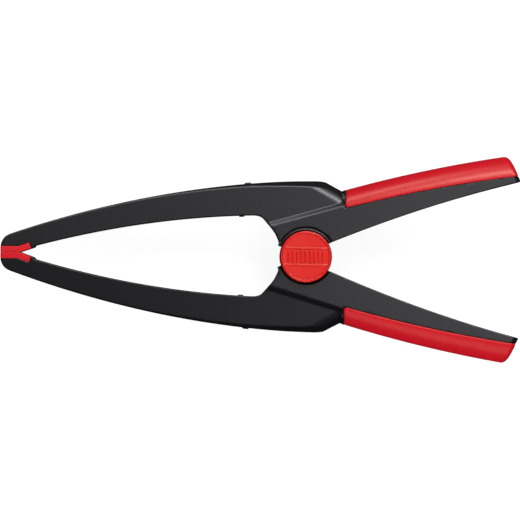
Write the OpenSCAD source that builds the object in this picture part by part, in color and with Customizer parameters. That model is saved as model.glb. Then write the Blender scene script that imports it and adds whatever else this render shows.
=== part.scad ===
// Spring clamp with long needle jaws, lying on its side.
//
// Frame: +Z up along the pivot axis, jaws towards -X, handles towards +X, origin on the
// pivot axis at the face that the clamp rests on. The two arms are one moulding used twice:
// the lower arm is the upper arm turned half a turn about X. Every module below is drawn about
// the clamp's middle plane, and lifted to the resting face at the end.

/* [Jaws] */
// Pivot axis to the jaw tips
jaw_reach = 122; // [118:1:126]
// Half the height over both arms at their shoulders
shoulder_y = 30.6; // [29.6:0.2:31.6]
// Thickness of the soft pads on the jaw tips
pad_t = 2.45; // [2:0.05:2.8]
// Lightening bays along each jaw
jaw_bays = 5; // [3:1:6]

/* [Handles] */
// Pivot axis to the handle ends
handle_reach = 85.1; // [82:0.1:90]
// Half the height over both grips at their ends
grip_y = 41.26; // [39:0.1:43]
// Thickness of the handle plates
plate_t = 17; // [16.6:0.2:18]
// How far a grip stands proud of the handle's faces
grip_proud = 0.5; // [0.2:0.1:0.8]
// Lightening bays along each handle
handle_bays = 3; // [2:1:4]

/* [Hub] */
// Height over the two caps
hub_h = 22; // [21.6:0.1:23]
// Radius of the hub discs
hub_r = 10.4; // [10.3:0.05:10.6]
// Radius of the caps
cap_r = 10.15; // [9.9:0.05:10.2]
// Radius of the pivot pin
pin_r = 2.5; // [2.2:0.1:2.5]

/* [Spring] */
// Wire diameter
wire_d = 2; // [1.6:0.1:2.2]
// Mean radius of the coil
coil_r = 6.6; // [6.3:0.1:6.7]
// Whole turns of the coil, besides the part turn between its legs
coil_turns = 3; // [2:1:3]
// Leg length beyond the pivot axis
leg_l = 32; // [26:1:33]

/* [Motion] */
// How far one arm turns from the other between closed and the hub's stops
open_deg = 26; // [20:1:28]

/* [Hidden] */
$fn = 96;

black = "#26262a";
red = "#c8202c";
steel = "silver";
eps = 0.01;
big = 60;
blank_z = 15;                    // half the thickness of a jaw before its sloping faces are cut

// Heights from the middle plane.
plate_z = plate_t / 2;
disc_z = plate_z - 0.3;          // outer face of a hub disc, a little below the plate
floor_z = plate_z - 2.8;         // inner face of a hub disc
split_z = 0.15;                  // half the gap between the two hub halves
grip_z = plate_z + grip_proud;
rail_z = plate_z - 2;            // half height of the rail that a grip is moulded over
washer_t = 0.5;
cap_z = hub_h / 2;
cap_wall = 0.9;
relief = 0.3;                    // depth of the cap's dished face below its rim

// Radii.
seat_r = hub_r + 0.6;            // where an arm's plate ends around the other arm's hub disc
well_r = hub_r - 1.8;            // the spring's well
bore_r = pin_r + 0.05;
head_r = pin_r + 1.7;
groove_r = pin_r - 0.4;

// Plan curves of the upper arm: each is the parabola through [x0, y0] and [x2, y2] that its end
// tangents would carry to the height y1 halfway along.
jaw_outer = [[4 - jaw_reach, 7.44], 29.72, [7.6, shoulder_y]];
jaw_inner = [[13.8 - jaw_reach, 2.7], 14.75, [-21.5, 16.25]];
handle_inner = [[9.5, 5.54], 21.49, [handle_reach, 31.1]];
grip_outer = [[15.8, 26.99], 36.2, [handle_reach - 6.1, grip_y]];
grip_border = [[15.3, 19.56], 28.8, [handle_reach - 1.05, 33.35]];

function on(c, x) = let (t = (x - c[0].x) / (c[2].x - c[0].x))
    pow(1 - t, 2) * c[0].y + 2 * t * (1 - t) * c[1] + t * t * c[2].y;
function run(c, n, from = undef, to = undef) =
    let (a = is_undef(from) ? c[0].x : from, b = is_undef(to) ? c[2].x : to)
    [for (i = [0:n]) let (x = a + (b - a) * i / n) [x, on(c, x)]];
function corner(p, q, r, n = 6) =
    [for (i = [0:n]) let (t = i / n) pow(1 - t, 2) * p + 2 * t * (1 - t) * q + t * t * r];
function back(list) = [for (i = [len(list) - 1:-1:0]) list[i]];

// Corners of the plan.
shoulder = jaw_outer[2];
notch = [14.6, 26.65];           // where the arm's heel meets the handle
crest_in = [-14.2, 11.6];        // ends of the line where the raised handle plate begins
crest_out = [15, 20.33];
throat = [-16.9, 14.7];          // lower end of the throat's rounded corner
hub_top = [-10.4, 4.8];          // where the throat runs into the hub
grip_corner = [handle_reach - 2.9, grip_y - 3.3];

// Jaw pad: its face is flat at the tip, then bends back along the jaw.
pad_gap = 0.05;
pad_bend = [7.8 - jaw_reach, pad_gap];
pad_end = [12.55 - jaw_reach, 1.65];
pad_lean = atan2(pad_end.y - pad_bend.y, pad_end.x - pad_bend.x);
seat_bend = [pad_bend.x - pad_t * tan(pad_lean / 2), pad_gap + pad_t];
seat_end = pad_end + pad_t * [-sin(pad_lean), cos(pad_lean)];
tip_top = [0.25 - jaw_reach, pad_gap + pad_t];
pad_lip = [[13.3 - jaw_reach, 1.9], [12.7 - jaw_reach, 1.7]];  // lip of the jaw behind the pad's end
pad_proud = 0.15;                // how far the pad stands proud of the jaw's faces

// The jaw's faces slope: thinner towards the tip and towards the outer edge.
face_slope = [0.0295, -0.12];
face_mid = 8.82;
function face_z(p) = face_mid + face_slope * p;
face_turn = let (n = [-face_slope.x, -face_slope.y, 1] / norm([face_slope.x, face_slope.y, 1]))
    [-asin(n.y), asin(n.x / cos(asin(n.y))), 0];

// ---- shared shapes ----

// Everything beyond the sloping faces of a jaw, lifted by up.
module beyond_faces(up = 0)
    for (turn = [0, 1])
        mirror([0, 0, turn])
            translate([0, 0, face_mid + up])
                rotate(face_turn)
                    translate([-3 * big, -2 * big, 0])
                        cube([6 * big, 4 * big, big]);

module slab(points, half, low = undef)
    translate([0, 0, is_undef(low) ? -half : low])
        linear_extrude(half - (is_undef(low) ? -half : low))
            polygon(points);

// Ring sector between two angles.
module sector(r0, r1, a0, a1, z0, z1, n = 12)
    slab(concat([for (i = [0:n]) let (a = a0 + (a1 - a0) * i / n) r1 * [cos(a), sin(a)]],
                [for (i = [n:-1:0]) let (a = a0 + (a1 - a0) * i / n) r0 * [cos(a), sin(a)]]),
         z1, z0);

module tube(r0, r1, z0, z1)
    translate([0, 0, z0])
        difference() {
            cylinder(r = r1, h = z1 - z0);
            translate([0, 0, -eps]) cylinder(r = r0, h = z1 - z0 + 2 * eps);
        }

// Solid through closed rings of equal length.
module skin(rings) {
    n = len(rings[0]);
    last = len(rings) - 1;
    polyhedron(
        points = [for (ring = rings) for (p = ring) p],
        faces = concat(
            [[for (j = [n - 1:-1:0]) j]],
            [for (i = [0:last - 1]) for (j = [0:n - 1])
                [i * n + j, i * n + (j + 1) % n, (i + 1) * n + (j + 1) % n, (i + 1) * n + j]],
            [[for (j = [0:n - 1]) last * n + j]]),
        convexity = 8);
}

// ---- arm ----

module jaw_plate() {
    outline = concat(
        corner(tip_top, [0.8 - jaw_reach, 6.2], jaw_outer[0]),
        run(jaw_outer, 24),
        [notch, [15.1, 24], [14, 17], [-11.5, 8.5], crest_in],
        back(corner(jaw_inner[2], [-18.2, 16.35], throat)),
        back(run(jaw_inner, 18)),
        pad_lip, [pad_end, seat_end, seat_bend]);
    difference() {
        slab(outline, blank_z);
        beyond_faces();
    }
}

// Stations of the grip along the handle: [outer point, border point]. The last few go round the
// corner at the grip's end, over the last grip_end of its border.
grip_steps = 16;
corner_steps = 5;
grip_end = 2.4;
grip_stations = concat(
    [for (i = [0:grip_steps])
        let (f = i / grip_steps,
             x = grip_outer[0].x + (grip_outer[2].x - grip_outer[0].x) * f,
             b = grip_border[0].x + (grip_border[2].x - grip_end - grip_border[0].x) * f)
        [[x, on(grip_outer, x)], [b, on(grip_border, b)]]],
    [for (i = [1:corner_steps]) let (b = grip_border[2].x - grip_end * (1 - i / corner_steps))
        [corner(grip_outer[2], [handle_reach - 3.8, grip_y - 0.36], grip_corner, corner_steps)[i],
         [b, on(grip_border, b)]]]);

module handle_plate()
    slab(concat([crest_in, crest_out, [grip_border[0].x, crest_out.y]],
                [for (s = grip_stations) s[1]],
                back(run(handle_inner, 20)), [hub_top]), plate_z);

// Rail that the grip is moulded over.
rail_inset = 2.5;
module rail()
    slab(concat([[11, 20]],
                [for (x = [grip_border[0].x - 1:6:grip_outer[2].x - 1])
                    [x, on(grip_outer, x) - rail_inset]],
                [grip_corner - [2.4, 0.6], grip_border[2] - [1.8, 1.5]],
                back(run(grip_border, 10, to = grip_border[2].x - 3)) - [for (i = [0:10]) [0, 1.5]]),
         rail_z);

// Shoulder that the grip's front end butts against.
module heel()
    slab([notch, grip_outer[0], grip_border[0], [11, 18]], plate_z - 4.3);

// Hub half: a disc with a rim that makes the spring's well, and a neck into the arm.
neck_from = 32;
neck_to = 154;
module hub_half() {
    translate([0, 0, split_z]) cylinder(r = hub_r, h = disc_z - split_z);
    sector(well_r, seat_r + 1, neck_from, neck_to, split_z, disc_z, 24);
}

// Stops: a lug on each rim runs in a gap of the other rim, so the two lugs and gaps bound the
// opening. Angles are in the upper arm's frame, and the lower arm's are their mirror.
stop_r = hub_r - 0.15;
stop_z = 1.2;
stop_wide = 24;
stop_from = 68;
stop_play = 1;
module stop_lug()
    sector(well_r + 0.15, stop_r, stop_from, stop_from + stop_wide, -stop_z, split_z + 0.5);
module stop_gap()
    sector(well_r - 0.5, hub_r + 0.3, -stop_from - stop_wide - stop_play,
           -stop_from + open_deg + stop_play, split_z - eps, stop_z + 0.3);

// Spring leg's own directions: along it, and across it towards the arm's outer edge.
leg_deg = 22;
leg_u = [cos(leg_deg), sin(leg_deg)];
leg_v = [-sin(leg_deg), cos(leg_deg)];
function leg_at(s, o) = s * leg_u + o * leg_v;
leg_z = 3.9;
leg_seat = coil_r + wire_d / 2 + 0.05;
leg_bay = [14, 34];              // where the bay for the leg starts and ends, along the leg
face_wall = 2.6;                 // thickness of the handle's faces over its bays

module spring_room() {
    translate([0, 0, -big]) cylinder(r = well_r, h = big + floor_z);
    // way out of the well for the leg
    inside = coil_r - wire_d / 2 - 0.35;
    out_to = leg_bay[0] + 0.5;
    slab([leg_at(2, inside), leg_at(out_to, inside), leg_at(out_to, leg_seat), leg_at(2, leg_seat)],
         leg_z + wire_d / 2 + 0.3, leg_z - wire_d / 2 - 0.3);
    // bay that the leg lies in, open towards the other handle
    slab([leg_at(leg_bay[0], -4), leg_at(leg_bay[1], -4),
          leg_at(leg_bay[1], leg_seat), leg_at(leg_bay[0], leg_seat)], plate_z - face_wall);
}

// Lightening bays, all open towards the other arm.
rib_t = 1.8;
jaw_wall = 3;                    // wall along the jaw's outer edge
jaw_face_wall = 1.9;             // least thickness of the jaw's faces over its bays
open_side = 3;                   // how far a bay's outline runs past the open edge
module jaw_bay_cuts() {
    first = -27.3;
    step = (first - (18 - jaw_reach) + rib_t) / jaw_bays;
    for (i = [0:jaw_bays - 1]) {
        x1 = first - i * step;
        x0 = x1 - step + rib_t;
        mid = (x0 + x1) / 2;
        half = face_z([mid, on(jaw_outer, mid) - jaw_wall]) - jaw_face_wall;
        slab(concat([for (x = [x0, mid, x1]) [x, on(jaw_outer, x) - jaw_wall]],
                    [for (x = [x1, mid, x0]) [x, on(jaw_inner, x) - open_side]]), half);
    }
}

module handle_bay_cuts() {
    first = 38;
    last = handle_reach - 8;
    step = (last - first + rib_t) / handle_bays;
    for (i = [0:handle_bays - 1]) {
        x0 = first + i * step;
        x1 = x0 + step - rib_t;
        slab([[x0, on(handle_inner, x0) - open_side], [x1, on(handle_inner, x1) - open_side],
              [x1, on(grip_border, x1) - 1.2], [x0, on(grip_border, x0) - 1.2]],
             plate_z - face_wall);
    }
}

// Ring under the cap that snaps into a groove in the hub disc.
cap_ring = [well_r - 0.4, well_r + 0.5];
cap_ring_h = 1.3;
module cap_groove()
    tube(cap_ring[0] - 0.05, cap_ring[1] + 0.05, disc_z - cap_ring_h - 0.1, disc_z + 1);

// Dovetail key that anchors the moulded-on jaw pad, short of the jaw's faces.
key_half = 1.1;
key_h = 1.3;
module pad_key()
    slab([for (p = [[-key_half, -0.4], [key_half, -0.4], [key_half + 0.5, key_h], [-key_half - 0.5, key_h]])
            tip_top + [4.2, 0] + p], 2.6);

// Gate marks left by moulding, on the outer edge and the inner edge.
module gate_mark(curve, x, half_x, low, high, half_z)
    slab([for (p = [[-half_x - 0.4, low], [-half_x, high], [half_x, high], [half_x + 0.4, low]])
            [x + p.x, on(curve, x + p.x) + p.y]], half_z);
module gate_marks() {
    gate_mark(jaw_outer, -23.6, 1, -1, 0.45, 1.6);
    gate_mark(jaw_inner, -25.75, 0.85, 1, -0.5, 2.4);
}

module arm() color(black) difference() {
    union() {
        difference() {
            union() {
                jaw_plate();
                handle_plate();
                rail();
                heel();
                gate_marks();
            }
            translate([0, 0, -big / 2]) cylinder(r = seat_r, h = big);
        }
        hub_half();
    }
    spring_room();
    translate([0, 0, -big / 2]) cylinder(r = bore_r, h = big);
    cap_groove();
    stop_gap();
    jaw_bay_cuts();
    handle_bay_cuts();
    pad_key();
}

module arm_with_stop() {
    arm();
    color(black) stop_lug();
}

// ---- soft parts ----

function grip_ring(s) = let (o = s[0], b = s[1])
    concat([for (a = [90:-15:-90]) let (f = pow(abs(cos(a)), 0.85), z = grip_z * sin(a))
                [b.x + (o.x - b.x) * f, b.y + (o.y - b.y) * f, z]]);

module grip() color(red) difference() {
    skin([for (s = grip_stations) grip_ring(s)]);
    rail();
}

module jaw_pad() color(red) {
    difference() {
        slab([[-jaw_reach, pad_gap], pad_bend, pad_end, seat_end, seat_bend, tip_top], blank_z);
        beyond_faces(pad_proud);
    }
    pad_key();
}

// ---- hub parts ----

cap_bevel = [0.4, 0.7];          // across and down
cap_rim = 1;
cap_rib = [0.7, 4.6];            // width and length of an upright rib
cap_rib_pitch = 1.7;
cap_bead = [16.4, 0.5];
cap_band = 3.3;                  // distance of each bead from the cap's middle
module on_face(size) translate([-size.x / 2, -size.y / 2, cap_z - relief - 0.2])
    cube([size.x, size.y, relief + 0.2]);

module cap() color(red) difference() {
    union() {
        difference() {
            union() {
                translate([0, 0, disc_z]) cylinder(r = cap_r, h = cap_z - disc_z - cap_bevel.y);
                translate([0, 0, cap_z - cap_bevel.y])
                    cylinder(r1 = cap_r, r2 = cap_r - cap_bevel.x, h = cap_bevel.y);
                tube(cap_ring[0], cap_ring[1], disc_z - cap_ring_h, disc_z + eps);
            }
            translate([0, 0, cap_z - relief]) cylinder(r = cap_r - cap_rim, h = 1);
        }
        // two beads across the dished face, with upright ribs between them
        for (side = [-1, 1]) translate([0, side * cap_band, 0]) on_face(cap_bead);
        for (i = [-4:4]) translate([i * cap_rib_pitch, 0, 0]) on_face(cap_rib);
    }
    translate([0, 0, disc_z - cap_ring_h - 0.1])
        cylinder(r = cap_ring[0] - eps, h = cap_z - cap_wall - relief - disc_z + cap_ring_h + 0.1);
}

pin_end = cap_z - cap_wall - relief - 0.25;
pin_bevel = 0.4;
head_t = 0.7;
ring_z = [disc_z + washer_t + 0.1, disc_z + washer_t + 0.6];
module pivot_pin() color(steel) difference() {
    head_z = -disc_z - washer_t;
    union() {
        translate([0, 0, head_z]) cylinder(r = pin_r, h = pin_end - pin_bevel - head_z);
        translate([0, 0, pin_end - pin_bevel])
            cylinder(r1 = pin_r, r2 = pin_r - pin_bevel, h = pin_bevel);
        translate([0, 0, head_z - head_t]) cylinder(r = head_r, h = head_t);
    }
    tube(groove_r, pin_r + 1, ring_z[0], ring_z[1]);
}

// Open ring that snaps into the pin's groove.
module retaining_ring() color(steel) difference() {
    tube(groove_r + 0.02, pin_r + 1.9, ring_z[0] + 0.03, ring_z[1] - 0.03);
    translate([0, -groove_r * 0.8, ring_z[0] - 1]) cube([big, groove_r * 1.6, 3]);
}

module washer(z) color(steel) tube(pin_r + 0.1, pin_r + 2.8, z, z + washer_t);

module spring_sleeve() color("#d8d8d0")
    tube(pin_r + 0.1, coil_r - wire_d / 2 - 0.8, 0.1 - floor_z, floor_z - 0.1);

// The wire's centreline: leg, coil, leg. It leaves the coil on a tangent at both ends.
swept = 360 * coil_turns + 180 - 2 * leg_deg;
coil_steps = 20 * coil_turns + 8;
spring_path = concat(
    [for (s = [leg_l, leg_l * 0.5, 3]) concat(leg_at(s, coil_r), leg_z)],
    [for (i = [0:coil_steps]) let (a = 90 + leg_deg + swept * i / coil_steps)
        [coil_r * cos(a), coil_r * sin(a), leg_z - 2 * leg_z * i / coil_steps]],
    [for (s = [3, leg_l * 0.5, leg_l]) let (p = leg_at(s, coil_r)) [p.x, -p.y, -leg_z]]);

module torsion_spring() color(steel) {
    last = len(spring_path) - 1;
    skin([for (i = [0:last])
        let (t = spring_path[min(i + 1, last)] - spring_path[max(i - 1, 0)],
             side = cross(t, [0, 0, 1]) / norm(cross(t, [0, 0, 1])),
             up = cross(side, t) / norm(t))
        [for (a = [0:36:324]) spring_path[i] + wire_d / 2 * (cos(a) * side + sin(a) * up)]]);
}

// ---- assembly ----

module lifted() translate([0, 0, cap_z]) children();
module turned() lifted() rotate([180, 0, 0]) children();

lifted() arm_with_stop();  // upper_arm
turned() arm_with_stop();  // lower_arm
lifted() grip();  // upper_grip
turned() grip();  // lower_grip
lifted() jaw_pad();  // upper_jaw_pad
turned() jaw_pad();  // lower_jaw_pad
lifted() cap();  // front_cap
turned() cap();  // rear_cap
lifted() pivot_pin();
lifted() retaining_ring();
lifted() washer(disc_z + 0.05);  // front_washer
lifted() washer(-disc_z - washer_t);  // rear_washer
lifted() spring_sleeve();
lifted() torsion_spring();
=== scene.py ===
"""Looks of the spring clamp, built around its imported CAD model.

The moulded pieces are made as fields: functions of x, y and z, in millimetres from the pivot axis
and the clamp's middle plane, that are negative inside the piece and about the distance to its
surface elsewhere. Fields are cut and joined with rounded edges, as a mould has them, and skin()
turns a field into a mesh. The lower arm's pieces are the upper arm's, turned half a turn about X.
"""

import functools
import math

import bpy
import numpy as np
from mathutils import Matrix, Vector


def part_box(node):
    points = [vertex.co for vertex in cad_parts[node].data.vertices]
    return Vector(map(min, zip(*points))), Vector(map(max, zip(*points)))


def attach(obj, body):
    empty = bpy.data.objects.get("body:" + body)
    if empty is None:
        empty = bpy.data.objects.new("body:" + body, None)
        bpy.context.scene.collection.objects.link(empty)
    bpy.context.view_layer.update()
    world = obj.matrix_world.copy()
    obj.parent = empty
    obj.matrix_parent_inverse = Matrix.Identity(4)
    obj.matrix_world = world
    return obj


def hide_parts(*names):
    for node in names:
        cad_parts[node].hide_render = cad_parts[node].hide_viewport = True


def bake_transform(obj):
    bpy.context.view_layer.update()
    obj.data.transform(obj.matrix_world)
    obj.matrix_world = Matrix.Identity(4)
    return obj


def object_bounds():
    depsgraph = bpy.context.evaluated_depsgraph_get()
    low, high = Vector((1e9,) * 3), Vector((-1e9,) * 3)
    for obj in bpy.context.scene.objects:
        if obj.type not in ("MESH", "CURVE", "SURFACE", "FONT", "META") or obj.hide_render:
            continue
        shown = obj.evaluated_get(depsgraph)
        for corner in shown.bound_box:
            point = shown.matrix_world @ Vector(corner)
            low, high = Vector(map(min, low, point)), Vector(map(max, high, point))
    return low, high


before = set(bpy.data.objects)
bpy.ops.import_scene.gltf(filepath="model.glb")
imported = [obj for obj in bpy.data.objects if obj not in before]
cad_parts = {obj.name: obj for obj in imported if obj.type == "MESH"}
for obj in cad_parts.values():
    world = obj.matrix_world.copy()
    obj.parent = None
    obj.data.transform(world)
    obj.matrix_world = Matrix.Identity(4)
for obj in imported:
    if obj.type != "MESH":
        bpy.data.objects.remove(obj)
cad_bounds = [list(corner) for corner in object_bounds()]

MM = 0.001  # metres in a millimetre


# ---- sizes, from the frame ----

def span(node):
    """Lowest and highest corner of a CAD node, in millimetres."""
    return [np.array(corner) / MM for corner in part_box(node)]


arm_high = span("upper_arm")[1]
grip_high = span("upper_grip")[1]
pad_low = span("upper_jaw_pad")[0]
cap_low, cap_high = span("front_cap")
rear_low = span("rear_cap")[0]
washer_low, washer_high = span("front_washer")
spring_low, spring_high = span("torsion_spring")

MID = (rear_low[2] + cap_high[2]) / 2  # height of the middle plane
REACH = -pad_low[0]  # pivot axis to the jaw tips
END = arm_high[0]  # pivot axis to the handle ends
PLATE = arm_high[2] - MID  # half the thickness of the handle plate
GRIP = grip_high[2] - MID
GRIP_Y = grip_high[1]
CAP_R = (cap_high[0] - cap_low[0]) / 2
CAP = cap_high[2] - MID
WASHER_RIM = 2.8  # how far a washer reaches past the pin
PIN_R = (washer_high[0] - washer_low[0]) / 2 - WASHER_RIM
WIRE_R = 1.0
COIL_R = -spring_low[0] - WIRE_R
LEG_Z = spring_high[2] - MID - WIRE_R

DISC = PLATE - 0.3  # outer face of a hub disc
FLOOR = PLATE - 2.8  # inner face of a hub disc
SPLIT = 0.15  # half the gap between the two hub halves
HUB_R = CAP_R + 0.25
SEAT_R = HUB_R + 0.6  # where an arm's plate ends around the other arm's hub disc
WELL_R = HUB_R - 1.8  # the spring's well


# ---- fields ----

def both(a, b, r=0.0):
    """Where a and b are both solid, with the edge between them rounded to radius r."""
    if not r:
        return np.maximum(a, b)
    return np.minimum(-r, np.maximum(a, b)) + np.hypot(np.maximum(a + r, 0), np.maximum(b + r, 0))


def either(a, b, r=0.0):
    """Where a or b is solid, with a fillet of radius r between them."""
    return -both(-a, -b, r)


def less(a, b, r=0.0):
    """What is left of a when b is cut away, with the cut's edge rounded to radius r."""
    return both(a, -b, r)


def layer(z, low, high):
    """Everything between two heights, or between two radii."""
    return np.maximum(low - z, z - high)


def sloped(top, slope, inset, stretch=None):
    """Everything below a face that falls at this slope from where inset is 0. The stretch makes
    it about a distance, in millimetres."""
    return (top + slope * inset) / (stretch or math.hypot(1, slope))


def line(x, y, p, q):
    """Distance to the left of the line from p to q."""
    dx, dy = q[0] - p[0], q[1] - p[1]
    return (dx * (y - p[1]) - dy * (x - p[0])) / math.hypot(dx, dy)


def outline(x, y, points):
    """Distance to a closed outline, negative inside."""
    nearest, inside = np.inf, False
    for (ax, ay), (bx, by) in zip(points, points[1:] + points[:1]):
        ex, ey, wx, wy = bx - ax, by - ay, x - ax, y - ay
        t = np.clip((wx * ex + wy * ey) / (ex * ex + ey * ey), 0, 1)
        nearest = np.minimum(nearest, (wx - t * ex) ** 2 + (wy - t * ey) ** 2)
        if ey:
            inside = inside ^ (((y < ay) != (y < by)) & (wx < wy * ex / ey))
    return np.where(inside, -1, 1) * np.sqrt(nearest)


# ---- plan curves of the upper arm ----

class Curve:
    """The parabola through (x0, y0) and (x2, y2) whose end tangents meet at height y1."""

    def __init__(self, start, y1, end):
        self.x0, self.y0, self.y1, self.x2, self.y2 = *start, y1, *end

    def at(self, x):
        t = (x - self.x0) / (self.x2 - self.x0)
        return (1 - t) ** 2 * self.y0 + 2 * t * (1 - t) * self.y1 + t * t * self.y2

    def above(self, x, y):
        """Distance above the curve."""
        t = (x - self.x0) / (self.x2 - self.x0)
        rise = 2 * ((1 - t) * (self.y1 - self.y0) + t * (self.y2 - self.y1)) / (self.x2 - self.x0)
        return (y - self.at(x)) / np.sqrt(1 + rise * rise)

    def run(self, n, start=None, end=None):
        a = self.x0 if start is None else start
        b = self.x2 if end is None else end
        return [(x, self.at(x)) for x in np.linspace(a, b, n + 1)]


def corner(p, q, r, n=6):
    """Points of a round corner from p to r, bent by q."""
    p, q, r = (np.array(v) for v in (p, q, r))
    return [tuple((1 - t) ** 2 * p + 2 * t * (1 - t) * q + t * t * r) for t in np.linspace(0, 1, n + 1)]


SHOULDER = (7.6, 30.6)
NOTCH = (14.6, 26.65)
CREST = ((-14.2, 11.6), (15, 20.33))  # where the raised handle plate begins
THROAT = (-16.9, 14.7)
HUB_SIDE = [(-10.2, 3.6), (-10.65, 4.4), (-11.0, 6.3), (-12.3, 9.1)]  # from the hub up to the throat
jaw_outer = Curve((4 - REACH, 7.44), 29.72, SHOULDER)
jaw_inner = Curve((13.8 - REACH, 2.7), 14.75, (-21.5, 16.25))
handle_inner = Curve((9.5, 5.54), 21.49, (END, 31.1))
grip_outer = Curve((15.8, 26.99), 36.2, (END - 6.1, GRIP_Y))
grip_border = Curve((15.3, 19.56), 28.8, (END - 1.05, 33.35))
GRIP_CORNER = (END - 2.9, GRIP_Y - 3.3)

PAD_T = 2.45
PAD_GAP = 0.01  # from a pad's face to the clamp's middle
PAD_BEND = (7.8 - REACH, PAD_GAP)
PAD_END = (12.55 - REACH, 1.65)
PAD_LIP = [(13.3 - REACH, 1.9), (12.7 - REACH, 1.7)]  # the jaw's edge behind the pad's end
LEAN = math.atan2(PAD_END[1] - PAD_BEND[1], PAD_END[0] - PAD_BEND[0])
SEAT_BEND = (PAD_BEND[0] - PAD_T * math.tan(LEAN / 2), PAD_GAP + PAD_T)
SEAT_END = (PAD_END[0] - PAD_T * math.sin(LEAN), PAD_END[1] + PAD_T * math.cos(LEAN))
TIP_TOP = (0.25 - REACH, PAD_GAP + PAD_T)

FACE_MID = 8.82  # half the thickness that the jaw's sloping faces would reach at the pivot axis
FACE_SLOPE = (0.0295, -0.12)  # and how it changes along X and along Y


def face(x, y):
    """Half the thickness of the jaw: thinner towards the tip and towards the outer edge."""
    return FACE_MID + FACE_SLOPE[0] * x + FACE_SLOPE[1] * y


# ---- pieces as fields ----

EDGE = 0.18  # radius of the moulding's sharp edges
BEVEL_AT, BEVEL_WIDTH = (-REACH, -62, -24, 2), (0.1, 0.4, 1.1, 2.4)  # width at these places on X
BEVEL_SLOPE = 2.2
HEEL_WIDTH, HEEL_SLOPE = 3.3, 1.5  # chamfer from the shoulder to the notch
CREST_AT, CREST_WIDTH = (-14, 15), (1.9, 1.6)


def jaw(x, y, z):
    """The jaw's plate, with a steep bevel along its outer edge that widens to the shoulder."""
    up = np.abs(z)
    plan = outline(x, y, corner(TIP_TOP, (0.8 - REACH, 6.2), (4 - REACH, 7.44))
                   + jaw_outer.run(24)[1:]
                   + [NOTCH, (15.1, 24), (14, 17), (-11, 8.5), CREST[0]]
                   + corner((-21.5, 16.25), (-18.2, 16.35), THROAT)[::-1]
                   + jaw_inner.run(18)[-2::-1]
                   + PAD_LIP + [PAD_END, SEAT_END, SEAT_BEND])
    top = up - face(x, y)
    bevel = sloped(top, BEVEL_SLOPE, np.interp(x, BEVEL_AT, BEVEL_WIDTH) + jaw_outer.above(x, y))
    chamfer = sloped(top, HEEL_SLOPE, HEEL_WIDTH + line(x, y, SHOULDER, NOTCH))
    return both(both(both(plan, top, EDGE), bevel, 0.5), chamfer, 2.2)


def handle(x, y, z):
    """The raised handle plate, whose edge slants down to the jaw along the crest."""
    top = np.abs(z) - PLATE
    fall = (PLATE - face(x, y)) / np.interp(x, CREST_AT, CREST_WIDTH)
    slant = sloped(top, fall, line(x, y, *CREST), 1.3)
    plan = outline(x, y, [(-16.1, 14.5), (14, 23.2), (grip_border.x0, 20.9)]
                   + grip_border.run(16)
                   + handle_inner.run(20)[::-1] + HUB_SIDE)
    end = sloped(top, 0.9, 2.0 + line(x, y, (END - 1.05, 33.35), (END, 31.1)), 1.35)
    return both(both(both(plan, top, EDGE), slant, 0.25), end, 0.3)


RAIL = PLATE - 3.6  # half the height of the rail
RAIL_INSET = 2.5
GRIP_FRONT = ((grip_border.x0, grip_border.y0), (grip_outer.x0, grip_outer.y0))


def rail(x, y, z):
    """The rail that the grip is moulded over."""
    high = [(x1, grip_outer.at(x1) - RAIL_INSET) for x1 in np.arange(14.3, END - 7, 6)]
    low = [(x1, y1 - 1.5) for x1, y1 in grip_border.run(10, end=END - 4)]
    tip = [(GRIP_CORNER[0] - 2.4, GRIP_CORNER[1] - 0.6), (END - 2.85, 31.85)]
    plan = outline(x, y, [(11, 20)] + high + tip + low[::-1])
    return both(plan, np.abs(z) - RAIL, 0.4)


def heel(x, y, z):
    """The shoulder that the grip's front end butts against, falling away to the notch."""
    plan = outline(x, y, [NOTCH, GRIP_FRONT[1], GRIP_FRONT[0], (11, 18)])
    fall = sloped(np.abs(z) - (PLATE - 4.6), 1.2, line(x, y, *GRIP_FRONT), 1.6)
    return both(plan, fall, 0.8)


def sector(x, y, low, high, start, end):
    """Ring sector between two radii and two angles less than half a turn apart."""
    ring = layer(np.hypot(x, y), low, high)
    a, b = math.radians(start), math.radians(end)
    first = x * math.sin(a) - y * math.cos(a)
    last = y * math.cos(b) - x * math.sin(b)
    return np.maximum(ring, np.maximum(first, last))


LEG = math.radians(22)  # direction of a spring leg, from the clamp's length
OPEN = 26  # degrees that one arm turns from the other
STOP = (68, 92)  # angles of the stop lug


def along_leg(x, y):
    """Distance along the spring leg from the pivot axis, and across it outwards."""
    return x * math.cos(LEG) + y * math.sin(LEG), y * math.cos(LEG) - x * math.sin(LEG)


BAY_RIB = 1.8  # between two bays
BAY_WALL = 3.18  # along the jaw's outer edge
BAY_LEVEL = 3  # from the same edge, where the height of the jaw's face sets the bay's
BAY_REACH = 3  # how far a bay reaches past its open edge
JAW_BAYS = (-27.3, 18 - REACH, 5)  # first and last place on X, and how many
HANDLE_BAYS = (38, END - 8, 3)
JAW_FACE = 1.9  # least thickness of the jaw's faces over its bays
HANDLE_FACE = 2.6
LEG_BAY = (14, 34)  # where the bay for the leg starts and ends, along the leg
LEG_SEAT = COIL_R + WIRE_R + 0.05


def stations(first, last, count):
    """Start and end on X of each bay in a row."""
    pitch = (last - first + math.copysign(BAY_RIB, last - first)) / count
    starts = [first + i * pitch for i in range(count)]
    return [sorted((start, start + pitch - math.copysign(BAY_RIB, pitch))) for start in starts]


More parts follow.
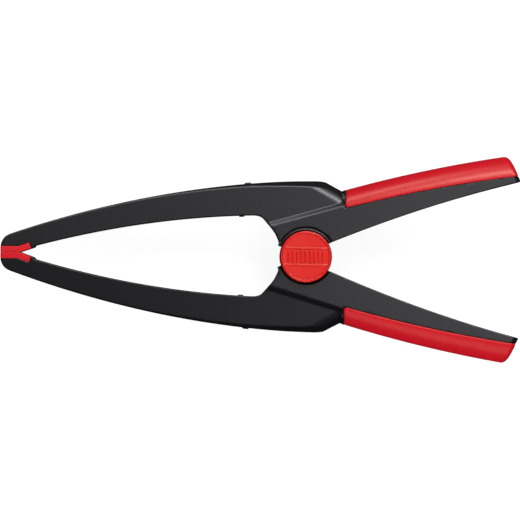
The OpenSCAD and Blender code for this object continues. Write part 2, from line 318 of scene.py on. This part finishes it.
def bays(x, y, z):
    """The lightening bays in the jaw and the handle, and the room for the spring and its leg."""
    up = np.abs(z)
    cuts = []
    for x0, x1 in stations(*JAW_BAYS):
        xs = (x0, (x0 + x1) / 2, x1)
        plan = outline(x, y, [(v, jaw_outer.at(v) - BAY_WALL) for v in xs]
                       + [(v, jaw_inner.at(v) - BAY_REACH) for v in xs[::-1]])
        half = face(xs[1], jaw_outer.at(xs[1]) - BAY_LEVEL) - JAW_FACE
        cuts.append(both(plan, up - half, 0.5))
    for x0, x1 in stations(*HANDLE_BAYS):
        plan = outline(x, y, [(v, handle_inner.at(v) - BAY_REACH) for v in (x0, x1)]
                       + [(v, grip_border.at(v) - 1.2) for v in (x1, x0)])
        cuts.append(both(plan, up - (PLATE - HANDLE_FACE), 0.5))
    along, out = along_leg(x, y)
    leg_bay = np.maximum(layer(along, *LEG_BAY), layer(out, -4, LEG_SEAT))
    cuts.append(both(leg_bay, up - (PLATE - HANDLE_FACE), 0.5))
    way_out = np.maximum(layer(along, 2, LEG_BAY[0] + 0.5), layer(out, COIL_R - WIRE_R - 0.35, LEG_SEAT))
    cuts.append(both(way_out, np.abs(z - LEG_Z) - WIRE_R - 0.3, 0.3))
    cuts.append(both(np.hypot(x, y) - WELL_R, z - FLOOR, 0.3))
    return functools.reduce(np.minimum, cuts)


# Marks that moulding leaves: the edge that each is on, from and to on X, from and to above the
# edge, and half the height.
GATES = ((jaw_outer, -24.8, -22.4, -1, 0.45, 1.6), (jaw_inner, -26.8, -24.7, -0.5, 1, 2.4))


def gate_mark(x, y, z, edge, start, end, low, high, half):
    plan = np.maximum(layer(x, start, end), layer(edge.above(x, y), low, high))
    return both(plan, np.abs(z) - half, 0.3)


NECK = (32, 159)  # angles between which the hub half runs into the arm
RING = (30, 152)  # and between which a groove and a bead go round the cap


def ringed(body, x, y, z):
    """The arm with the groove and the raised bead around the cap."""
    turn = np.hypot(x, y)
    arc = sector(x, y, 0, SEAT_R + 2, *RING)
    groove = both(np.abs(turn - SEAT_R - 0.5) - 0.3, PLATE - 0.9 - z, 0.1)
    slope = z - PLATE - 0.3 + 0.45 * (turn - SEAT_R + 0.4)
    bead = both(layer(turn, SEAT_R - 0.5, SEAT_R + 0.3), np.maximum(slope, DISC - 1 - z), 0.15)
    return either(less(body, np.maximum(groove, arc), 0.15), np.maximum(bead, arc))


def stopped(body, x, y, z):
    """The arm with a lug on its hub's rim, and a gap in the rim for the other arm's lug."""
    gap = np.maximum(sector(x, y, WELL_R - 0.5, HUB_R + 0.3, -STOP[1] - 1, OPEN + 1 - STOP[0]),
                     layer(z, SPLIT - 0.01, 1.5))
    lug = np.maximum(sector(x, y, WELL_R + 0.15, HUB_R - 0.15, *STOP), layer(z, -1.2, SPLIT + 0.5))
    return either(less(body, gap, 0.1), lug)


def arm(x, y, z):
    """A whole arm: jaw, raised handle plate, hub half, bays, and the rail for the grip."""
    turn = np.hypot(x, y)
    body = either(jaw(x, y, z), handle(x, y, z), 0.2)
    body = either(body, heel(x, y, z), 0.6)
    body = either(body, np.minimum(*(gate_mark(x, y, z, *gate) for gate in GATES)), 0.2)
    body = less(body, turn - SEAT_R, 0.3)
    neck = np.maximum(sector(x, y, WELL_R, SEAT_R + 1, *NECK), layer(z, SPLIT, DISC))
    disc = both(turn - HUB_R, layer(z, SPLIT, DISC), 0.25)
    body = either(either(body, neck, 0.15), disc, 0.15)
    body = ringed(body, x, y, z)
    body = less(body, bays(x, y, z), 0.35)
    body = either(body, rail(x, y, z))
    body = less(body, turn - PIN_R - 0.05)
    cap_groove = np.maximum(layer(turn, WELL_R - 0.45, WELL_R + 0.55), DISC - 1.4 - z)
    return stopped(less(body, cap_groove), x, y, z)


GRIP_ROUND = 4.2  # makes the grip's round section about a distance, in millimetres


def grip(x, y, z):
    """Soft grip: half round outside, fuller near the handle, round at its end."""
    inner = grip_border.above(x, y)
    outer = -grip_outer.above(x, y)
    across = np.clip(inner, 0, None) / np.maximum(inner + outer, 0.1)
    shape = both(GRIP_ROUND * (across ** 1.5 + (z / GRIP) ** 2 - 1), -outer)
    end = line(x, y, GRIP_CORNER, (END - 1.05, 33.35))
    shape = both(shape, end, 2.0)
    shape = both(shape, both(-inner, line(x, y, *GRIP_FRONT), 1.3), 0.35)
    return less(shape, rail(x, y, z))


def jaw_pad(x, y, z):
    """Soft pad at the jaw's tip, a little proud of the jaw's faces."""
    start = 0.3 - REACH
    plan = outline(x, y, [(start, PAD_GAP), PAD_BEND, PAD_END, SEAT_END, SEAT_BEND, (start, TIP_TOP[1])])
    return both(plan, np.abs(z) - face(x, y) - 0.15, 0.45)


DISH = 0.55  # depth of the cap's dish at its middle
BAND_LOW = 0.15  # how far the band's beads and ribs stay below the cap's rim
BEAD_Y = 3.3  # the cap's middle to each bead
RIB_PITCH = 1.7


def cap(x, y, z):
    """Snap-in cap: a round dished face, with a ribbed band between two beads across it."""
    turn = np.hypot(x, y)
    body = both(turn - CAP_R, layer(z, DISC + 0.02, CAP), 0.6)
    dish = CAP - DISH + 0.15 * (turn / CAP_R) ** 2
    body = less(body, both(turn - CAP_R + 0.8, dish - z, 0.1), 0.2)
    high = layer(z, CAP - 1.2, CAP - BAND_LOW)
    fading = np.maximum(high, z - CAP + BAND_LOW + 0.3 * (x / CAP_R) ** 4)
    beads = both(np.maximum(np.abs(np.abs(y) - BEAD_Y) - 0.35, turn - CAP_R + 0.5), fading, 0.3)
    rib = np.abs((x + RIB_PITCH / 2) % RIB_PITCH - RIB_PITCH / 2) - 0.38
    ribs = both(both(rib, np.maximum(np.abs(x) - 7.3, np.abs(y) - 2.3), 0.2), high, 0.25)
    body = either(either(body, beads, 0.15), ribs, 0.15)
    snap = np.maximum(layer(turn, WELL_R - 0.4, WELL_R + 0.5), layer(z, DISC - 1.3, DISC + 0.1))
    return less(either(body, snap), np.maximum(turn - WELL_R + 0.4, z - CAP + 1.4))


# ---- meshes ----

def skin(name, field, low, high, step):
    """Closed mesh of quads where field changes sign. Each cell that the surface crosses holds one
    point, the middle of where the cell's edges are crossed."""
    axes = [np.arange(a - 2.3 * s, b + 2.8 * s, s) for a, b, s in zip(low, high, step)]
    x, y, z = np.meshgrid(*axes, indexing="ij", sparse=True)
    value = np.ascontiguousarray(np.broadcast_to(field(x, y, z), [len(a) for a in axes]))
    solid = value < 0
    nx, ny, nz = (len(a) - 1 for a in axes)
    count = sum(solid[i:nx + i, j:ny + j, k:nz + k].astype(np.int8)
                for i in (0, 1) for j in (0, 1) for k in (0, 1))
    crossed = (count > 0) & (count < 8)
    cell = np.argwhere(crossed)
    index = np.full(crossed.shape, -1)
    index[crossed] = np.arange(len(cell))
    total, hits = np.zeros((len(cell), 3)), np.zeros(len(cell))
    for axis in range(3):
        unit = np.eye(3, dtype=int)[axis]
        for side in ((0, 0), (0, 1), (1, 0), (1, 1)):
            offset = np.insert(side, axis, 0)
            start = cell + offset
            v0, v1 = value[tuple(start.T)], value[tuple((start + unit).T)]
            hit = (v0 < 0) != (v1 < 0)
            t = v0[hit] / (v0[hit] - v1[hit])
            total[hit] += offset + t[:, None] * unit
            hits[hit] += 1
    points = np.array([a[0] for a in axes]) + (cell + total / hits[:, None]) * np.array(step)
    quads = []
    for axis in range(3):
        u, v = (np.eye(3, dtype=int)[(axis + n) % 3] for n in (1, 2))
        low_side = np.take(solid, range(solid.shape[axis] - 1), axis)
        high_side = np.take(solid, range(1, solid.shape[axis]), axis)
        for before, after, order in ((low_side, high_side, 1), (high_side, low_side, -1)):
            edge = np.argwhere(before & ~after)
            ring = [index[tuple((edge - shift).T)] for shift in (0 * u, u, u + v, v)]
            quads.append(np.stack(ring[::order], 1))
    mesh = bpy.data.meshes.new(name)
    points[:, 2] += MID
    mesh.from_pydata((points * MM).tolist(), [], np.concatenate(quads).tolist())
    mesh.shade_smooth()
    return mesh


TURN = Matrix.Translation((0, 0, 2 * MID * MM)) @ Matrix.Rotation(math.pi, 4, "X")


def turned(mesh):
    """The same mesh for the other side of the clamp."""
    other = mesh.copy()
    other.transform(TURN)
    return other


def piece(name, mesh, body, finish, keep=1.0):
    """Object that stands for the CAD node of the same name. keep is the share of faces left."""
    made = bpy.data.objects.new(name + "_detail", mesh)
    bpy.context.scene.collection.objects.link(made)
    mesh.materials.append(finish)
    if keep < 1:
        made.modifiers.new("fewer_faces", "DECIMATE").ratio = keep
    flat = made.modifiers.new("flat_faces_stay_flat", "WEIGHTED_NORMAL")
    flat.weight = 60
    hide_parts(name)
    if body:
        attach(made, body)
    return made


DOME = (0, 0.5, 1.0, 1.4)  # angles of the rings that round a wire's end


def sweep(name, path, radius, sides=20):
    """Round wire along a path, in metres, with domed ends."""
    path = [Vector(p) for p in path]
    rings, faces = [], []
    side = Vector((0, 0, 1))
    for i, point in enumerate(path):
        ahead = (path[min(i + 1, len(path) - 1)] - path[max(i - 1, 0)]).normalized()
        side = (side - ahead * side.dot(ahead)).normalized()
        across = ahead.cross(side)
        dome = [(0, 1)]
        if i == 0:
            dome = [(-math.sin(a), math.cos(a)) for a in DOME[::-1]]
        elif i == len(path) - 1:
            dome = [(math.sin(a), math.cos(a)) for a in DOME]
        for shift, scale in dome:
            centre = point + ahead * shift * radius
            rings.append([centre + radius * scale * (math.cos(a) * side + math.sin(a) * across)
                          for a in (2 * math.pi * n / sides for n in range(sides))])
    for i in range(len(rings) - 1):
        for j in range(sides):
            k = (j + 1) % sides
            faces.append((i * sides + j, i * sides + k, (i + 1) * sides + k, (i + 1) * sides + j))
    last = (len(rings) - 1) * sides
    faces += [tuple(range(sides))[::-1], tuple(range(last, last + sides))]
    mesh = bpy.data.meshes.new(name)
    mesh.from_pydata([p for ring in rings for p in ring], [], faces)
    mesh.shade_smooth()
    return mesh


# ---- materials ----

def material(name, base, rough, metal=0.0, specular=0.5, tint=(1, 1, 1)):
    """Principled material and its parts: (material, nodes, links, shader)."""
    made = bpy.data.materials.new(name)
    made.use_nodes = True
    nodes, links = made.node_tree.nodes, made.node_tree.links
    shader = nodes["Principled BSDF"]
    shader.inputs["Base Color"].default_value = (*base, 1)
    shader.inputs["Roughness"].default_value = rough
    shader.inputs["Metallic"].default_value = metal
    shader.inputs["Specular IOR Level"].default_value = specular
    shader.inputs["Specular Tint"].default_value = (*tint, 1)
    return made, nodes, links, shader


def noise(nodes, links, size_mm, detail=3.0, stretch=(1, 1, 1)):
    """Noise whose grains are about size_mm across; returns its factor socket."""
    place = nodes.new("ShaderNodeTexCoord")
    scale = nodes.new("ShaderNodeMapping")
    scale.inputs["Scale"].default_value = stretch
    texture = nodes.new("ShaderNodeTexNoise")
    texture.inputs["Scale"].default_value = 1 / (size_mm * MM)
    texture.inputs["Detail"].default_value = detail
    links.new(place.outputs["Object"], scale.inputs["Vector"])
    links.new(scale.outputs["Vector"], texture.inputs["Vector"])
    return texture.outputs["Fac"]


def ramp(nodes, links, factor, low, high, start=0.3, end=0.7):
    """Maps factor from start..end to low..high, which are numbers."""
    made = nodes.new("ShaderNodeMapRange")
    for socket, value in (("From Min", start), ("From Max", end), ("To Min", low), ("To Max", high)):
        made.inputs[socket].default_value = value
    links.new(factor, made.inputs["Value"])
    return made.outputs["Result"]


def moulded(name, base, rough, specular, grain_mm, depth_mm, mottle=0.12, tint=(1, 1, 1)):
    """Moulded plastic or soft rubber: fine grain and faint mottling."""
    made, nodes, links, shader = material(name, base, rough, specular=specular, tint=tint)
    grain = noise(nodes, links, grain_mm, 2.0)
    patches = noise(nodes, links, 9.0, 4.0)
    shade = nodes.new("ShaderNodeMix")
    shade.data_type = "RGBA"
    shade.inputs["A"].default_value = (*(c * (1 - mottle) for c in base), 1)
    shade.inputs["B"].default_value = (*(c * (1 + mottle) for c in base), 1)
    links.new(patches, shade.inputs["Factor"])
    links.new(shade.outputs["Result"], shader.inputs["Base Color"])
    links.new(ramp(nodes, links, grain, rough - 0.05, rough + 0.05), shader.inputs["Roughness"])
    bump = nodes.new("ShaderNodeBump")
    bump.inputs["Strength"].default_value = 1.0
    bump.inputs["Distance"].default_value = depth_mm * MM
    links.new(grain, bump.inputs["Height"])
    links.new(bump.outputs["Normal"], shader.inputs["Normal"])
    return made


def steel(name, base, rough, stretch):
    """Drawn or turned steel, with fine marks along the stretched direction."""
    made, nodes, links, shader = material(name, base, rough, metal=1.0)
    marks = noise(nodes, links, 0.3, 3.0, stretch)
    links.new(ramp(nodes, links, marks, rough - 0.1, rough + 0.14), shader.inputs["Roughness"])
    bump = nodes.new("ShaderNodeBump")
    bump.inputs["Strength"].default_value = 0.5
    bump.inputs["Distance"].default_value = 0.01 * MM
    links.new(marks, bump.inputs["Height"])
    links.new(bump.outputs["Normal"], shader.inputs["Normal"])
    return made


WARM = (1.0, 0.72, 0.55)  # tint of reflections on the red pieces
arm_plastic = moulded("arm_plastic", (0.0034, 0.0032, 0.0037), 0.37, 0.5, 0.45, 0.026)
grip_soft = moulded("grip_soft", (0.40, 0.006, 0.012), 0.3, 0.3, 0.5, 0.006, mottle=0.06, tint=WARM)
pad_soft = moulded("pad_soft", (0.44, 0.007, 0.013), 0.5, 0.3, 0.4, 0.006, mottle=0.06, tint=WARM)
cap_plastic = moulded("cap_plastic", (0.46, 0.008, 0.007), 0.24, 0.45, 0.5, 0.004, mottle=0.05, tint=WARM)
sleeve_plastic = moulded("sleeve_plastic", (0.74, 0.72, 0.66), 0.5, 0.4, 0.5, 0.004)
wire_steel = steel("wire_steel", (0.46, 0.46, 0.48), 0.34, (1, 1, 8))
pin_steel = steel("pin_steel", (0.60, 0.60, 0.61), 0.30, (1, 1, 6))


# ---- pieces ----

def pair(base, mesh, finish, keep):
    """A piece for each arm: the upper one and the same one turned over."""
    other = turned(mesh)
    piece(f"upper_{base}", mesh, "upper_arm", finish, keep)
    piece(f"lower_{base}", other, "lower_arm", finish, keep)


pair("arm", skin("arm", arm, (-REACH, -HUB_R, -PLATE), (END, 39, PLATE), (0.36, 0.22, 0.3)),
     arm_plastic, 0.15)
pair("grip", skin("grip", grip, (16, 19, -GRIP), (END, GRIP_Y, GRIP), (0.4, 0.3, 0.3)),
     grip_soft, 0.5)
pair("jaw_pad", skin("jaw_pad", jaw_pad, (-REACH, 0, -6), (12.7 - REACH, 4.2, 6), (0.2, 0.14, 0.2)),
     pad_soft, 0.5)
cap_mesh = skin("cap", cap, (-CAP_R, -CAP_R, DISC - 1.3), (CAP_R, CAP_R, CAP), (0.15, 0.15, 0.1))
rear_mesh = turned(cap_mesh)
piece("front_cap", cap_mesh, "upper_arm", cap_plastic, 0.5)
piece("rear_cap", rear_mesh, "lower_arm", cap_plastic, 0.5)


COIL_TURNS = 3  # whole turns, besides the part turn between the legs
COIL_STEPS = 220


def wire_path():
    """Centreline of the spring: a leg, the coil, and the other leg."""
    leg_length = (spring_high[0] + (COIL_R + WIRE_R) * math.sin(LEG)) / math.cos(LEG)
    leg = [(s * math.cos(LEG) - COIL_R * math.sin(LEG), s * math.sin(LEG) + COIL_R * math.cos(LEG))
           for s in (leg_length - WIRE_R, leg_length * 0.7, leg_length * 0.4, 3)]
    first = math.pi / 2 + LEG
    swept = math.radians(360 * COIL_TURNS + 180) - 2 * LEG
    path = [(x, y, LEG_Z) for x, y in leg]
    for i in range(COIL_STEPS + 1):
        t = i / COIL_STEPS
        angle = first + swept * t
        path.append((COIL_R * math.cos(angle), COIL_R * math.sin(angle), LEG_Z * (1 - 2 * t)))
    path += [(x, -y, -LEG_Z) for x, y in leg[::-1]]
    return [(x * MM, y * MM, (z + MID) * MM) for x, y, z in path]


spring = piece("torsion_spring", sweep("spring", wire_path(), WIRE_R * MM), None,
               wire_steel)
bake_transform(spring)

CAD_FINISHES = {"pivot_pin": pin_steel, "retaining_ring": pin_steel, "front_washer": pin_steel,
                "rear_washer": pin_steel, "spring_sleeve": sleeve_plastic}
for node, finish in CAD_FINISHES.items():
    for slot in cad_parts[node].material_slots:
        slot.material = finish


# ---- stage, light and camera ----

centre = (np.array(cad_bounds[0]) + np.array(cad_bounds[1])) / 2
length = cad_bounds[1][0] - cad_bounds[0][0]


def floor():
    """Wide white paper that shows no edge. It neither lights the clamp nor shows in it."""
    mesh = bpy.data.meshes.new("floor")
    half = 30 * length
    corners = [(-half, -half, 0), (half, -half, 0), (half, half, 0), (-half, half, 0)]
    mesh.from_pydata(corners, [], [(0, 1, 2, 3)])
    made, _, _, shader = material("floor_paper", (0.16, 0.16, 0.16), 0.9, specular=0.0)
    shader.inputs["Emission Color"].default_value = (1, 1, 1, 1)
    shader.inputs["Emission Strength"].default_value = 0.92
    mesh.materials.append(made)
    ground = bpy.data.objects.new("floor", mesh)
    ground.visible_glossy = False
    ground.visible_diffuse = False
    bpy.context.scene.collection.objects.link(ground)


def softbox(name, at, size, power, aim=True, gloss=True):
    """Area light, placed from the clamp's middle. It faces the middle, or straight down, and
    without gloss it isn't seen in shiny surfaces."""
    light = bpy.data.lights.new(name, "AREA")
    light.shape = "RECTANGLE"
    light.size, light.size_y = size
    light.energy, light.color = power, (1.0, 0.98, 1.04)
    made = bpy.data.objects.new(name, light)
    made.location = Vector(centre) + Vector(at)
    way = -Vector(at) if aim else Vector((0, 0, -1))
    made.rotation_euler = way.to_track_quat("-Z", "Y").to_euler()
    made.visible_camera = False
    made.visible_glossy = gloss
    bpy.context.scene.collection.objects.link(made)


def surroundings():
    """Dim studio: paler towards +Y, dark below the horizon."""
    world = bpy.data.worlds.new("studio")
    bpy.context.scene.world = world
    world.use_nodes = True
    nodes, links = world.node_tree.nodes, world.node_tree.links
    sky = nodes["Background"]
    place = nodes.new("ShaderNodeTexCoord")
    split = nodes.new("ShaderNodeSeparateXYZ")
    links.new(place.outputs["Generated"], split.inputs["Vector"])
    product = nodes.new("ShaderNodeMath")
    product.operation = "MULTIPLY"
    links.new(ramp(nodes, links, split.outputs["Z"], 0.12, 1.0, -0.1, 0.3), product.inputs[0])
    links.new(ramp(nodes, links, split.outputs["Y"], 0.04, 0.25, -0.6, 0.6), product.inputs[1])
    links.new(product.outputs["Value"], sky.inputs["Color"])


floor()
surroundings()
softbox("key", (0.24, 0.54, 0.52), (0.5, 0.22), 6.0)
softbox("strip", (-0.24, 0.78, 0.26), (0.5, 0.24), 3.3)
softbox("overhead", (0.27, 0.02, 0.8), (0.46, 0.72), 1.7, aim=False)
softbox("fill", (0, -0.66, 0.36), (0.7, 0.4), 7.5, gloss=False)

CAMERA_UP = 0.9  # the camera's height over the clamp's middle
LEVEL = 0.0065  # height over the middle at which the picture's width is measured
PICTURE = 0.9984 * length  # the picture's width there
AIM = (0.00025, -0.0016)  # what the camera looks at, from the clamp's middle
camera_data = bpy.data.cameras.new("camera")
camera = bpy.data.objects.new("camera", camera_data)
camera_data.sensor_width = 36
camera_data.lens = camera_data.sensor_width * (CAMERA_UP - LEVEL) / PICTURE
camera.location = (centre[0] + AIM[0], centre[1] + AIM[1], centre[2] + CAMERA_UP)
camera.rotation_euler = (0, 0, math.radians(0.9))
bpy.context.scene.collection.objects.link(camera)
bpy.context.scene.camera = camera
bpy.context.scene.view_settings.view_transform = "Standard"
